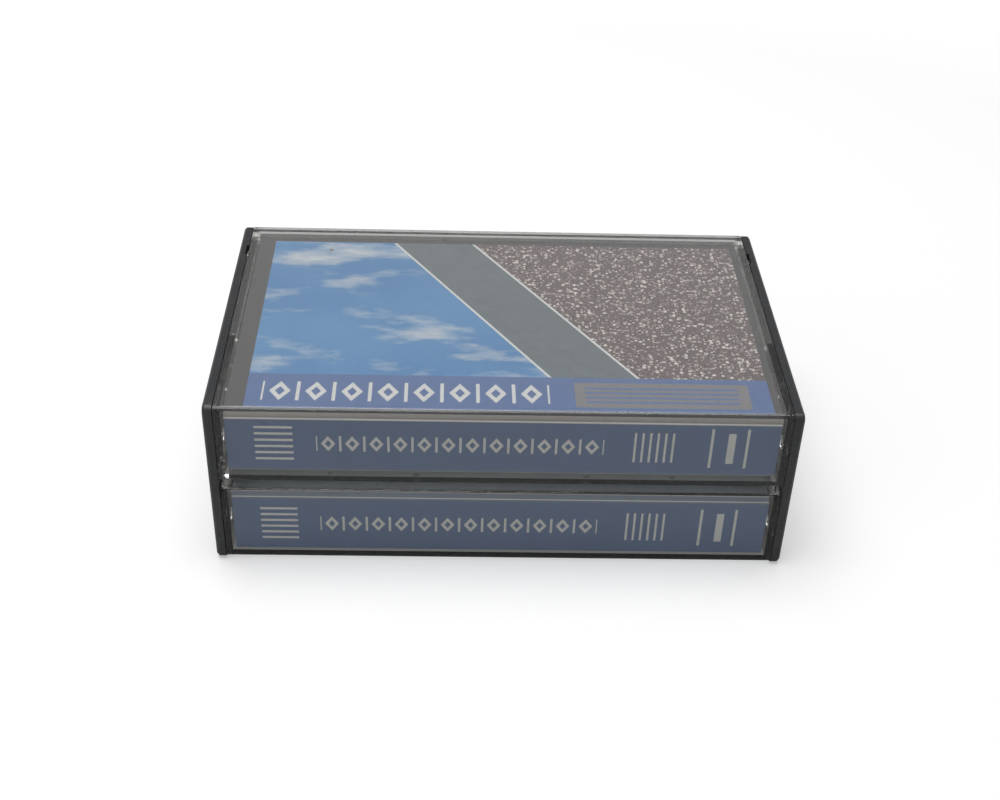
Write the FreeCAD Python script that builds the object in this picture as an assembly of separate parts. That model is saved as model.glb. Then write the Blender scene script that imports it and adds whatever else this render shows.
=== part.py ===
"""Double case for two cassette tapes, in millimetres.

A black centre moulding stands on its two end walls. A clear hinged lid closes it from above and
another from below. Each lid holds a folded inlay card and a cassette in its pocket.

Frame: origin at the bottom centre, +X along the spine, +Y from the spine to the opening edge,
+Z up. The upper half is modelled in place. The lower half is the same set of pieces turned half
a turn about the long middle line that runs from front to back.
"""
import FreeCAD, Part
import math
import os

V = FreeCAD.Vector

# Cassette, outside
cassette_length = 100.4
cassette_depth = 63.8
cassette_thickness = 12.0
cassette_body_thickness = 8.7
cassette_wall = 1.5
cassette_face = 1.1
cassette_corner_radius = 3.5
cassette_mouth_corner_radius = 1.8
raised_mouth_length = 70.0
raised_inner_length = 63.0
raised_depth = 17.0

# Cassette, hub and tape places
hub_spacing = 42.5
hub_line_share = 6 / 11
tape_width = 3.8
tape_thickness = 0.15
tape_gap = 0.1
pack_wall_gap = 2.3
leader_winding = 0.7

# Hub
hub_radius = 10.95
hub_boss_radius = 5.6
hub_bore_radius = 4.8
hub_tooth_tip_radius = 3.95
hub_tooth_root_width = 1.9
hub_tooth_tip_width = 1.3
hub_tooth_count = 6
hub_bore_sides = 12
hub_rim_sides = 36
pack_sides = 72
hub_boss_recess = 0.25
hub_tooth_recess = 0.5
hub_clearance = 0.3
hub_pack_clearance = 0.03
clip_width = 4.2
clip_depth = 3.0
clip_clearance = 0.05

# Guide rollers and their pins
roller_radius = 3.0
roller_tape_margin = 0.5
roller_sides = 24
roller_pin_radius = 0.9
roller_pin_clearance = 0.05
roller_boss_radius = 1.7
roller_end_gap = 0.1
roller_from_side = 10.7
roller_from_mouth = 6.2

# Pressure pad, its leaf spring and the shield plate
pad_length = 5.0
pad_depth = 1.8
pad_height = 3.4
pad_tape_gap = 0.2
spring_length = 25.0
spring_sheet = 0.25
spring_height = 4.2
spring_tab = 1.6
shield_length = 15.0
shield_sheet = 0.6
shield_height = 5.4
shield_from_spring = 2.4
post_width = 1.6
post_lip = 0.9
post_clearance = 0.1

# Shell details
mouth_opening_height = 6.2
mouth_opening_places_share = (-0.385, -0.185, 0.0, 0.185, 0.385)
mouth_opening_widths_share = (0.17, 0.105, 0.2, 0.105, 0.17)
capstan_hole_radius = 3.1
capstan_hole_sides = 24
capstan_from_centre = 25.5
capstan_from_mouth = 7.6
locating_hole_width = 4.4
locating_from_centre = 18.0
locating_from_mouth = 6.4
window_length = 22.0
window_width = 9.4
window_clearance = 0.05
window_flange = 1.0
window_flange_thickness = 0.5
label_recess = 0.2
label_thickness = 0.15
label_screw_gap = 0.4
label_from_back = 2.4
label_from_raised = 2.5
label_clearance = 0.15
label_cutout_margin = 1.6
label_cutout_sides = 16
rib_width = 1.0
liner_thickness = 0.15
liner_hub_gap = 0.3
liner_rib_gap = 0.05
liner_boss_gap = 0.6
liner_edge_gap = 1.2
liner_cutout_sides = 12
tab_length = 6.5
tab_height = 4.8
tab_recess = 0.7
tab_from_side = 4.0

# Shell screws
screw_head_radius = 1.9
screw_head_height = 1.0
screw_shank_radius = 0.9
screw_clearance = 0.05
screw_tip_gap = 1.0
screw_head_sides = 10
screw_shank_sides = 6
boss_radius = 2.3
boss_sides = 6
corner_screw_inset = 3.9
mouth_screw_from_side = 3.9
mouth_screw_from_mouth = 5.4
middle_screw_from_mouth = 13.2

# Inlay card
card_thickness = 0.25
card_fold_radius = 0.6
card_overhang = 0.6
card_cassette_gap = 0.1
card_mouth_gap = 0.15
card_panel_margin = 0.1
card_flap_depth = 16.0

# Lid
lid_panel = 1.4
lid_spine = 1.4
lid_pocket_wall = 1.2
lid_end_wall = 1.1
lid_lip = 1.4
lid_lip_drop = 4.0
lid_rim_drop = 3.0
lid_rim_slope = 7.0
lid_pocket_depth = 20.0
lid_corner_radius = 1.3
lid_back_radius = 0.6
lid_card_gap_end = 0.65
lid_card_gap_top = 0.2
lid_card_gap_spine = 0.1
lid_card_gap_floor = 0.95
lid_scallop_length = 46.0
lid_scallop_depth = 6.0
pocket_rib_clearance = 0.2
pocket_rib_from_spine = 5.0
pocket_rib_places_share = (-0.62, -0.31, 0.31, 0.62)
end_rib_clearance = 0.3
end_rib_places_share = (0.45, 0.85)
end_rib_end_gap = 0.6

# Lid hinge and snap
pivot_from_spine = 4.0
pivot_above_lid_floor = 8.45
pin_radius = 1.5
pin_clearance = 0.05
pin_end_gap = 0.3
snap_from_back = 11.0
snap_radius = 1.0
snap_height = 0.35
snap_groove_depth = 0.45
snap_groove_margin = 1.1

# Black centre moulding
end_wall = 1.8
end_wall_proud = 0.2
end_wall_corner_radius = 1.6
end_wall_edge_chamfer = 0.45
lid_side_gap = 0.15
partition_thickness = 1.2
partition_lid_gap = 0.25
partition_swing_gap = 0.6
back_wall = 1.6
back_wall_swing_gap = 0.45
back_wall_lip_gap = 0.45
back_wall_card_gap = 0.25
back_wall_rim_gap = 0.35
thumb_notch_length = 18.0
thumb_notch_depth = 2.2
peg_root_radius = 2.7
peg_draft = 0.3
peg_reach = 3.5
peg_tip_chamfer = 0.6

# A cut runs past the faces it cuts by this much, and points closer than `tiny` are one point.
overrun = 0.5
tiny = 1e-6

half_turn = 180.0
full_turn = 360.0

# Card and cassette give the inside of a half, and the walls and gaps give the outside.
card_height = cassette_thickness + 2 * card_cassette_gap + 2 * card_thickness
card_length = cassette_length + 2 * card_overhang
lid_inside = lid_card_gap_floor + card_height + lid_card_gap_top
lid_height = lid_pocket_wall + lid_inside + lid_panel
half_height = partition_thickness / 2 + partition_lid_gap + lid_height + end_wall_proud
case_height = 2 * half_height
lid_half_length = card_length / 2 + lid_card_gap_end + lid_end_wall
tray_half_inside = lid_half_length + lid_side_gap
case_length = 2 * (tray_half_inside + end_wall)
lid_depth = (lid_spine + lid_card_gap_spine + card_thickness + card_mouth_gap + cassette_depth
             + back_wall_swing_gap + back_wall + back_wall_lip_gap + lid_lip)
case_depth = lid_depth + 2 * end_wall_proud

# Places in the case, for the upper half
middle = case_height / 2
lid_front = -lid_depth / 2
lid_back = lid_depth / 2
lid_floor = middle + partition_thickness / 2 + partition_lid_gap
lid_top = lid_floor + lid_height
panel_underside = lid_top - lid_panel
pocket_top = lid_floor + lid_pocket_wall
card_top = panel_underside - lid_card_gap_top
card_bottom = card_top - card_height
card_front = lid_front + lid_spine + lid_card_gap_spine
cassette_front = card_front + card_thickness + card_mouth_gap
cassette_back = cassette_front + cassette_depth
cassette_middle = card_bottom + card_thickness + card_cassette_gap + cassette_thickness / 2
pivot_y = lid_front + pivot_from_spine
pivot_z = lid_floor + pivot_above_lid_floor

# Cassette halves, measured from the plane where they meet
hub_line_from_mouth = hub_line_share * cassette_depth
body_half = cassette_body_thickness / 2
raised_half = cassette_thickness / 2
body_roof = body_half - cassette_face
raised_roof = raised_half - cassette_face
inside_half_length = cassette_length / 2 - cassette_wall
label_half_length = (cassette_length / 2 - corner_screw_inset - screw_head_radius
                     - label_screw_gap)
liner_half_length = cassette_length / 2 - corner_screw_inset - boss_radius - liner_boss_gap
hub_offset = hub_spacing / 2
hub_hole_radius = hub_boss_radius + hub_clearance
supply_pack_radius = min(inside_half_length - hub_offset,
                         cassette_depth - hub_line_from_mouth - cassette_wall) - pack_wall_gap
takeup_pack_radius = hub_radius + leader_winding
roller_x = cassette_length / 2 - roller_from_side
tape_half = tape_width / 2
hub_core_half = tape_half + tape_gap / 2
roller_half = tape_half + roller_tape_margin
liner_bottom = hub_core_half + liner_hub_gap
liner_top = liner_bottom + liner_thickness
tape_back = roller_from_mouth - roller_radius - tape_gap
pad_front = tape_back + pad_tape_gap
spring_front = pad_front + pad_depth
shield_front = spring_front + spring_sheet + shield_from_spring


def at_xy(u, v):
    """Point of a plan outline."""
    return V(u, v, 0)


def at_yz(u, v):
    """Point of a side outline, which is extruded along X."""
    return V(0, u, v)


def rounded_wire(corners, place):
    """Closed wire through (u, v, radius) corners, with each corner rounded by its radius."""
    arcs = []
    count = len(corners)
    for index, (u, v, radius) in enumerate(corners):
        before = corners[index - 1]
        after = corners[(index + 1) % count]
        corner = place(u, v)
        to_before = (place(before[0], before[1]) - corner).normalize()
        to_after = (place(after[0], after[1]) - corner).normalize()
        half_angle = to_before.getAngle(to_after) / 2
        if radius < tiny:
            arcs.append((corner, None, corner))
            continue
        reach = radius / math.tan(half_angle)
        bisector = (to_before + to_after).normalize()
        centre = corner + bisector * (radius / math.sin(half_angle))
        arcs.append((corner + to_before * reach, centre - bisector * radius,
                     corner + to_after * reach))
    edges = []
    for index, (start, halfway, end) in enumerate(arcs):
        if halfway is not None:
            edges.append(Part.Arc(start, halfway, end).toShape())
        following = arcs[(index + 1) % count][0]
        if end.distanceToPoint(following) > tiny:
            edges.append(Part.LineSegment(end, following).toShape())
    return Part.Wire(edges)


def plan(corners, bottom, top):
    """Plate with a plan outline, from one height to another."""
    face = Part.Face(rounded_wire(corners, at_xy))
    solid = face.extrude(V(0, 0, top - bottom))
    solid.translate(V(0, 0, bottom))
    return solid


def profile(corners, left, right):
    """Bar with a side outline, from one X to another."""
    face = Part.Face(rounded_wire(corners, at_yz))
    solid = face.extrude(V(right - left, 0, 0))
    solid.translate(V(left, 0, 0))
    return solid


def block(x_range, y_range, z_range):
    """Box between pairs of limits."""
    corner = V(x_range[0], y_range[0], z_range[0])
    return Part.makeBox(x_range[1] - x_range[0], y_range[1] - y_range[0], z_range[1] - z_range[0],
                        corner)


def centred(x, half_length):
    """Pair of limits around a place."""
    return (x - half_length, x + half_length)


def post(x, y, radius, bottom, top):
    """Upright cylinder."""
    return Part.makeCylinder(radius, top - bottom, V(x, y, bottom))


def prism(x, y, flat_radius, sides, bottom, top):
    """Upright post with flat sides, each at the given radius from its axis."""
    corner_radius = flat_radius / math.cos(math.pi / sides)
    points = [V(x + corner_radius * math.cos(math.pi * (2 * index + 1) / sides),
                y + corner_radius * math.sin(math.pi * (2 * index + 1) / sides), bottom)
              for index in range(sides)]
    face = Part.Face(Part.makePolygon(points + [points[0]]))
    return face.extrude(V(0, 0, top - bottom))


def long_hole(radius, sides, bottom, top):
    """Space of one long hole round both hubs, with many-sided ends."""
    ends = [prism(x, hub_line_from_mouth, radius, sides, bottom, top)
            for x in (-hub_offset, hub_offset)]
    middle_part = block((-hub_offset, hub_offset), centred(hub_line_from_mouth, radius),
                        (bottom, top))
    return fused([middle_part] + ends)


def fused(shapes):
    """Union of shapes, with shared faces merged."""
    whole = shapes[0]
    if len(shapes) > 1:
        whole = whole.multiFuse(shapes[1:])
    return whole.removeSplitter()


def moved(shape, offset):
    """Copy of a shape, moved."""
    copy = shape.copy()
    copy.translate(offset)
    return copy


def turned_over(shape, height=0.0):
    """Copy of a shape, turned half a turn about the front-to-back line at a height."""
    copy = shape.copy()
    copy.rotate(V(0, 0, height), V(0, 1, 0), half_turn)
    return copy


def rectangle(x_half, y_low, y_high, low_radius, high_radius):
    """Corners of a rectangle that is symmetric about X = 0."""
    return [(-x_half, y_low, low_radius), (x_half, y_low, low_radius),
            (x_half, y_high, high_radius), (-x_half, y_high, high_radius)]


def lid_sweep_reach():
    """How far behind the pivot the lid's lower spine corner still dips to the partition."""
    along = pivot_from_spine - lid_corner_radius
    down = pivot_above_lid_floor - lid_corner_radius
    radius = math.hypot(along, down) + lid_corner_radius
    depth = pivot_z - (middle + partition_thickness / 2)
    return math.sqrt(max(radius ** 2 - depth ** 2, 0))


# The black centre moulding

def tray_end_wall():
    """Right end wall, with rounded corners and outer edges."""
    corners = rectangle(case_depth / 2, 0, case_height, end_wall_corner_radius,
                        end_wall_corner_radius)
    wall = profile(corners, tray_half_inside, case_length / 2)
    outer_edges = [edge for edge in wall.Edges
                   if min(vertex.X for vertex in edge.Vertexes) > case_length / 2 - tiny]
    wall = wall.makeChamfer(end_wall_edge_chamfer, outer_edges)
    for pivot_height in (pivot_z, case_height - pivot_z):
        hole = Part.makeCylinder(pin_radius + pin_clearance, end_wall + 2 * overrun,
                                 V(tray_half_inside - overrun, pivot_y, pivot_height), V(1, 0, 0))
        wall = wall.cut(hole)
    groove_half = snap_radius + snap_groove_margin
    groove = block((tray_half_inside - overrun, tray_half_inside + snap_groove_depth),
                   centred(snap_y(), groove_half),
                   (snap_z() - snap_radius - snap_groove_depth, case_height + overrun))
    return wall.cut([groove, turned_over_in_place(groove)])


def turned_over_in_place(shape):
    """Copy of a shape at the same X, mirrored about the middle height."""
    return shape.mirror(V(0, 0, middle), V(0, 0, 1))


def snap_y():
    """Place of the snap pips along the depth."""
    return lid_back - snap_from_back


def snap_z():
    """Height of the snap pips, in the middle of the lid's end rim."""
    return lid_top - lid_rim_drop / 2


def tray_back_wall():
    """Back wall: a full-height web behind both cassettes, and a flush band between the lids."""
    inner = cassette_back + back_wall_swing_gap
    web_back = inner + back_wall
    web_top = panel_underside - back_wall_card_gap
    band_top = lid_top - lid_lip_drop - back_wall_lip_gap
    band_bottom = case_height - band_top
    corners = [(inner, case_height - web_top, 0), (web_back, case_height - web_top, 0),
               (web_back, band_bottom, 0), (lid_back, band_bottom, lid_back_radius),
               (lid_back, band_top, lid_back_radius), (web_back, band_top, 0),
               (web_back, web_top, 0), (inner, web_top, 0)]
    wall = profile(corners, -tray_half_inside, tray_half_inside)
    cuts = [thumb_notch(web_back, band_top)]
    rim_inner = lid_half_length - lid_end_wall - back_wall_rim_gap
    for x_range in ((rim_inner, tray_half_inside), (-tray_half_inside, -rim_inner)):
        cuts.append(block(x_range, (inner - overrun, web_back + tiny),
                          (lid_top - lid_rim_drop - back_wall_rim_gap, case_height)))
    return wall.cut(cuts + [turned_over_in_place(cut) for cut in cuts])


def thumb_notch(front, top):
    """Thumb notch in the top edge of the flush band, with sloping ends."""
    low_half = thumb_notch_length / 2
    high_half = low_half + thumb_notch_depth
    corners = [(-high_half, top + tiny), (high_half, top + tiny),
               (low_half, top - thumb_notch_depth), (-low_half, top - thumb_notch_depth)]
    points = [V(x, front, z) for x, z in corners]
    wire = Part.makePolygon(points + [points[0]])
    return Part.Face(wire).extrude(V(0, lid_back - front + overrun, 0))


def hub_peg(x):
    """Tapered round peg with a bevelled tip, which stands in a hub."""
    tip = cassette_middle - body_half + peg_reach
    peg = Part.makeCone(peg_root_radius, peg_root_radius - peg_draft, tip - middle,
                        V(x, cassette_front + hub_line_from_mouth, middle))
    tip_edges = [edge for edge in peg.Edges if edge.BoundBox.ZMin > tip - tiny]
    return peg.makeChamfer(peg_tip_chamfer, tip_edges)


def centre_tray():
    """The black centre moulding in one piece."""
    half = partition_thickness / 2
    front = pivot_y + lid_sweep_reach() + partition_swing_gap
    back = cassette_back + back_wall_swing_gap + back_wall
    partition = profile([(front, middle - half, half / 2), (back, middle - half, 0),
                         (back, middle + half, 0), (front, middle + half, half / 2)],
                        -tray_half_inside - end_wall / 2, tray_half_inside + end_wall / 2)
    right_wall = tray_end_wall()
    left_wall = right_wall.mirror(V(0, 0, 0), V(1, 0, 0))
    pieces = [partition, right_wall, left_wall, tray_back_wall()]
    for x in (-hub_offset, hub_offset):
        pieces += [hub_peg(x), turned_over_in_place(hub_peg(x))]
    return fused(pieces)


# The clear lid

def lid_shell():
    """Panel, spine and pocket of the lid, open at the back below the panel."""
    pocket_back = lid_front + lid_pocket_depth
    outside = profile([(lid_front, lid_floor, lid_corner_radius), (pocket_back, lid_floor, 0),
                       (pocket_back, lid_top, 0), (lid_front, lid_top, lid_corner_radius)],
                      -lid_half_length, lid_half_length)
    inside_half = lid_half_length - lid_end_wall
    hollow = block((-inside_half, inside_half), (lid_front + lid_spine, pocket_back + overrun),
                   (pocket_top, panel_underside))
    panel = profile([(pocket_back, panel_underside, 0), (lid_back, panel_underside, 0),
                     (lid_back, lid_top, lid_back_radius), (pocket_back, lid_top, 0)],
                    -lid_half_length, lid_half_length)
    lip = profile([(lid_back - lid_lip, lid_top - lid_lip_drop, 0),
                   (lid_back, lid_top - lid_lip_drop, 0),
                   (lid_back, lid_top, lid_back_radius), (lid_back - lid_lip, lid_top, 0)],
                  -lid_half_length, lid_half_length)
    return [outside.cut(hollow), panel, lip]


def lid_end_rim():
    """Right end wall of the lid behind the pocket, which slopes down to a low rim."""
    pocket_back = lid_front + lid_pocket_depth
    rim_bottom = lid_top - lid_rim_drop
    corners = [(pocket_back - lid_end_wall, lid_floor, 0), (pocket_back, lid_floor, 0),
               (pocket_back + lid_rim_slope, rim_bottom, lid_rim_drop / 2),
               (lid_back - lid_lip / 2, rim_bottom, 0),
               (lid_back - lid_lip / 2, panel_underside + lid_panel / 2, 0),
               (pocket_back - lid_end_wall, panel_underside + lid_panel / 2, 0)]
    return profile(corners, lid_half_length - lid_end_wall, lid_half_length)


def lid_side_ribs():
    """Upright ribs on the right end wall that centre the cassette in the pocket."""
    reach = cassette_length / 2 + end_rib_clearance
    ribs = []
    for share in end_rib_places_share:
        y = lid_front + lid_pocket_depth * share
        ribs.append(block((reach, lid_half_length - lid_end_wall / 2), centred(y, rib_width / 2),
                          (card_bottom + card_thickness + end_rib_end_gap,
                           card_top - card_thickness - end_rib_end_gap)))
    return ribs


def lid_floor_ribs():
    """Low ribs on the pocket wall that carry the card's flap."""
    front = lid_front + lid_spine + pocket_rib_from_spine
    back = lid_front + lid_pocket_depth - lid_scallop_depth - rib_width
    ribs = []
    for share in pocket_rib_places_share:
        ribs.append(block(centred(share * lid_half_length, rib_width / 2), (front, back),
                          (pocket_top - lid_pocket_wall / 2, card_bottom - pocket_rib_clearance)))
    return ribs


def lid_scallop():
    """Shallow curved cut in the free edge of the pocket wall."""
    half = lid_scallop_length / 2
    radius = (half ** 2 + lid_scallop_depth ** 2) / (2 * lid_scallop_depth)
    y = lid_front + lid_pocket_depth - lid_scallop_depth + radius
    return post(0, y, radius, lid_floor - overrun, card_bottom - pocket_rib_clearance / 2)


def snap_pip():
    """Low ridge with sloping flanks on the right end rim, which snaps into the end wall."""
    root = lid_half_length - lid_end_wall / 2
    tip = lid_half_length + snap_height
    y = snap_y()
    corners = [(root, y - snap_radius, 0), (lid_half_length, y - snap_radius, 0),
               (tip, y - snap_radius / 2, 0), (tip, y + snap_radius / 2, 0),
               (lid_half_length, y + snap_radius, 0), (root, y + snap_radius, 0)]
    return plan(corners, snap_z() - snap_radius, snap_z() + snap_radius)


def lid():
    """The clear lid in one piece."""
    right = [lid_end_rim()] + lid_side_ribs()
    right.append(Part.makeCylinder(pin_radius, tray_half_inside + end_wall - pin_end_gap
                                   - lid_half_length + lid_end_wall / 2,
                                   V(lid_half_length - lid_end_wall / 2, pivot_y, pivot_z),
                                   V(1, 0, 0)))
    right.append(snap_pip())
    left = [piece.mirror(V(0, 0, 0), V(1, 0, 0)) for piece in right]
    whole = fused(lid_shell() + right + left + lid_floor_ribs())
    return whole.cut(lid_scallop()).removeSplitter()


def inlay_card():
    """Folded card: panel under the lid, spine, and flap on the pocket ribs."""
    panel_back = cassette_back + card_panel_margin
    flap_back = card_front + card_flap_depth
    inner_radius = card_fold_radius - card_thickness
    corners = [(panel_back, card_top, 0), (card_front, card_top, card_fold_radius),
               (card_front, card_bottom, card_fold_radius), (flap_back, card_bottom, 0),
               (flap_back, card_bottom + card_thickness, 0),
               (card_front + card_thickness, card_bottom + card_thickness, inner_radius),
               (card_front + card_thickness, card_top - card_thickness, inner_radius),
               (panel_back, card_top - card_thickness, 0)]
    return profile(corners, -card_length / 2, card_length / 2)


# The cassette, with its origin at the middle of its mouth edge

def screw_places():
    """Plan places of the five shell screws, and the roof height over each."""
    back = cassette_depth - corner_screw_inset
    side = cassette_length / 2 - corner_screw_inset
    mouth_side = cassette_length / 2 - mouth_screw_from_side
    return [(-side, back, body_half), (side, back, body_half),
            (-mouth_side, mouth_screw_from_mouth, body_half),
            (mouth_side, mouth_screw_from_mouth, body_half),
            (0, middle_screw_from_mouth, raised_half)]


def raised_outline(inset):
    """Outline of the thick part at the mouth, drawn in by an inset."""
    return [(-raised_mouth_length / 2 + inset, inset, 0),
            (raised_mouth_length / 2 - inset, inset, 0),
            (raised_inner_length / 2 - inset, raised_depth - inset, 0),
            (-raised_inner_length / 2 + inset, raised_depth - inset, 0)]


def shell_blank():
    """Outside of a shell half less its hollow."""
    outline = rectangle(cassette_length / 2, 0, cassette_depth, cassette_mouth_corner_radius,
                        cassette_corner_radius)
    inner = rectangle(inside_half_length, cassette_wall, cassette_depth - cassette_wall, 0, 0)
    outside = plan(outline, 0, body_half).fuse(plan(raised_outline(0), 0, raised_half))
    hollow = plan(inner, -overrun, body_roof)
    raised_hollow = plan(raised_outline(cassette_wall), -overrun, raised_roof)
    return outside.cut(hollow).cut(raised_hollow)


def shell_inner_parts():
    """Screw bosses, roller bosses, liner ribs and the posts at the mouth."""
    parts = []
    for x, y, outer_face in screw_places():
        parts.append(prism(x, y, boss_radius, boss_sides, 0, outer_face - cassette_face / 2))
    for x in (-roller_x, roller_x):
        parts.append(prism(x, roller_from_mouth, roller_boss_radius, boss_sides,
                           roller_half + roller_end_gap, body_roof + cassette_face / 2))
    rib_bottom = liner_top + liner_rib_gap
    rib_top = body_roof + cassette_face / 2
    rib_half = liner_half_length - rib_width
    rib_front = raised_depth + rib_width
    rib_back = cassette_depth - cassette_wall - liner_edge_gap - rib_width
    for y in (rib_front, rib_back - rib_width):
        parts.append(block((-rib_half, rib_half), (y, y + rib_width), (rib_bottom, rib_top)))
    for x in (-rib_half, rib_half - rib_width):
        parts.append(block((x, x + rib_width), (rib_front, rib_back), (rib_bottom, rib_top)))
    return parts + mouth_posts()


def mouth_posts():
    """Pairs of slotted posts that hold the leaf spring and the shield plate by their ends."""
    top = raised_roof + cassette_face / 2
    parts = []
    for length, front, sheet in ((spring_length, spring_front, spring_sheet),
                                 (shield_length, shield_front, shield_sheet)):
        for side in (-1, 1):
            x = side * (length / 2 + post_clearance + (post_width - post_lip) / 2)
            y_range = (front - post_width / 2, front + sheet + post_width / 2)
            stem = block(centred(x, (post_width + post_lip) / 2), y_range, (0, top))
            slot_half = length / 2 + post_clearance
            slot = block((-slot_half, slot_half), (front - post_clearance, front + sheet
                         + post_clearance), (-overrun, shield_height / 2 + post_clearance))
            parts.append(stem.cut(slot))
    return parts


def shell_half(heads_here):
    """Upper half of the cassette shell. The side with the screw heads is the other half."""
    shell = fused([shell_blank()] + shell_inner_parts())
    through = cassette_thickness
    cuts = []
    for x in (-hub_offset, hub_offset):
        cuts.append(post(x, hub_line_from_mouth, hub_hole_radius, -overrun, through))
    cuts.append(block(centred(0, window_length / 2),
                      centred(hub_line_from_mouth, window_width / 2), (-overrun, through)))
    for side in (-1, 1):
        cuts.append(prism(side * capstan_from_centre, capstan_from_mouth, capstan_hole_radius,
                          capstan_hole_sides, -overrun, through))
        cuts.append(block(centred(side * locating_from_centre, locating_hole_width / 2),
                          centred(locating_from_mouth, locating_hole_width / 2),
                          (-overrun, through)))
        cuts.append(prism(side * roller_x, roller_from_mouth, roller_pin_radius
                          + screw_clearance, boss_sides, -overrun, body_roof))
        tab_x = side * (cassette_length / 2 - tab_from_side - cassette_corner_radius)
        cuts.append(block(centred(tab_x, tab_length / 2),
                          (cassette_depth - tab_recess, cassette_depth + overrun),
                          (-overrun, tab_height / 2)))
    for place, width in zip(mouth_opening_places_share, mouth_opening_widths_share):
        cuts.append(block(centred(place * raised_mouth_length, width * raised_mouth_length / 2),
                          (-overrun, cassette_wall + tiny), (-overrun, mouth_opening_height / 2)))
    cuts.append(block(centred(0, label_half_length),
                      (raised_depth + label_from_raised, cassette_depth - label_from_back),
                      (body_half - label_recess, through)))
    for x, y, outer_face in screw_places():
        if heads_here:
            cuts.append(prism(x, y, screw_shank_radius + screw_clearance, screw_shank_sides,
                              -overrun, through))
            cuts.append(prism(x, y, screw_head_radius + screw_clearance, screw_head_sides,
                              outer_face - screw_head_height, through))
        else:
            cuts.append(prism(x, y, screw_shank_radius + screw_clearance, screw_shank_sides,
                              -overrun, outer_face - screw_tip_gap))
    return shell.cut(cuts)


def shell_screws():
    """The five screws, heads up in the half with the counterbores."""
    screws = []
    for x, y, outer_face in screw_places():
        head = prism(x, y, screw_head_radius, screw_head_sides, outer_face - screw_head_height,
                     outer_face)
        shank = prism(x, y, screw_shank_radius, screw_shank_sides,
                      -outer_face + screw_tip_gap + screw_clearance,
                      outer_face - screw_head_height)
        screws.append(head.fuse(shank).removeSplitter())
    return Part.makeCompound(screws)


def window():
    """Clear window with a flange behind the shell face."""
    plug = block(centred(0, window_length / 2 - window_clearance),
                 centred(hub_line_from_mouth, window_width / 2 - window_clearance),
                 (body_roof, body_half - label_recess))
    flange = block(centred(0, window_length / 2 + window_flange),
                   centred(hub_line_from_mouth, window_width / 2 + window_flange),
                   (body_roof - window_flange_thickness, body_roof))
    return plug.fuse(flange).removeSplitter()


def label():
    """Paper label in the shell's recess, with one long cut-out for the hubs and the window."""
    half = label_half_length - label_clearance
    low = raised_depth + label_from_raised + label_clearance
    high = cassette_depth - label_from_back - label_clearance
    bottom = body_half - label_recess
    sheet = plan(rectangle(half, low, high, 0, 0), bottom, bottom + label_thickness)
    return sheet.cut(long_hole(hub_hole_radius + label_cutout_margin, label_cutout_sides,
                               bottom - overrun, body_half + overrun))


def liner():
    """Slip sheet between the tape packs and the shell's ribs."""
    sheet = plan(rectangle(liner_half_length, raised_depth + rib_width / 2,
                           cassette_depth - cassette_wall - liner_edge_gap, 0, 0),
                 liner_bottom, liner_top)
    return sheet.cut(long_hole(hub_hole_radius + hub_clearance, liner_cutout_sides, 0, body_half))


def hub_tooth():
    """One tooth of the hub, pointing along +X at the bore's middle."""
    reach = (hub_bore_radius + hub_boss_radius) / 2
    half = body_half - hub_tooth_recess
    corners = [(hub_tooth_tip_radius, -hub_tooth_tip_width / 2, 0),
               (reach, -hub_tooth_root_width / 2, 0), (reach, hub_tooth_root_width / 2, 0),
               (hub_tooth_tip_radius, hub_tooth_tip_width / 2, 0)]
    return plan(corners, -half, half)


def clip_block(clearance):
    """Space of the leader clip in the hub's rim, less a clearance on its sides and bottom."""
    return block(centred(0, clip_width / 2 - clearance),
                 (hub_radius - clip_depth + clearance, hub_radius + overrun),
                 centred(0, hub_core_half))


def hub_rim():
    """Disc that the tape is wound on."""
    return prism(0, 0, hub_radius, hub_rim_sides, -hub_core_half, hub_core_half)


def hub():
    """Toothed hub with a wide rim for the tape and a notch for the leader clip."""
    boss_half = body_half - hub_boss_recess
    core = hub_rim().cut(clip_block(0))
    boss = post(0, 0, hub_boss_radius, -boss_half, boss_half)
    ring = core.fuse(boss).cut(prism(0, 0, hub_bore_radius, hub_bore_sides,
                                     -boss_half - overrun, boss_half + overrun))
    teeth = []
    for index in range(hub_tooth_count):
        tooth = hub_tooth()
        tooth.rotate(V(0, 0, 0), V(0, 0, 1), index * full_turn / hub_tooth_count)
        teeth.append(tooth)
    return fused([ring] + teeth)


def hub_clip():
    """Clip that holds the leader in the hub's rim."""
    return clip_block(clip_clearance).common(hub_rim())


def tape_pack(radius):
    """Wound tape."""
    bore = prism(0, 0, hub_radius + hub_pack_clearance, hub_rim_sides, -tape_width, tape_width)
    return prism(0, 0, radius, pack_sides, -tape_half, tape_half).cut(bore)


def guide_roller():
    """Guide roller, a little taller than the tape is wide."""
    drum = prism(0, 0, roller_radius, roller_sides, -roller_half, roller_half)
    return drum.cut(post(0, 0, roller_pin_radius + roller_pin_clearance, -body_half, body_half))


def roller_pins():
    """The two roller pins."""
    half = body_roof - screw_clearance
    return Part.makeCompound([post(x, roller_from_mouth, roller_pin_radius, -half, half)
                              for x in (-roller_x, roller_x)])


def tangent_normal(roller, hub_centre, roller_reach, pack_reach, side):
    """Unit vector from either centre to the tape, where it runs straight from pack to roller."""
    line = hub_centre - roller
    distance = line.Length
    along = line.normalize()
    across = V(-along.y, along.x, 0) * side
    share = (roller_reach - pack_reach) / distance
    return along * share + across * math.sqrt(1 - share ** 2)


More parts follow.
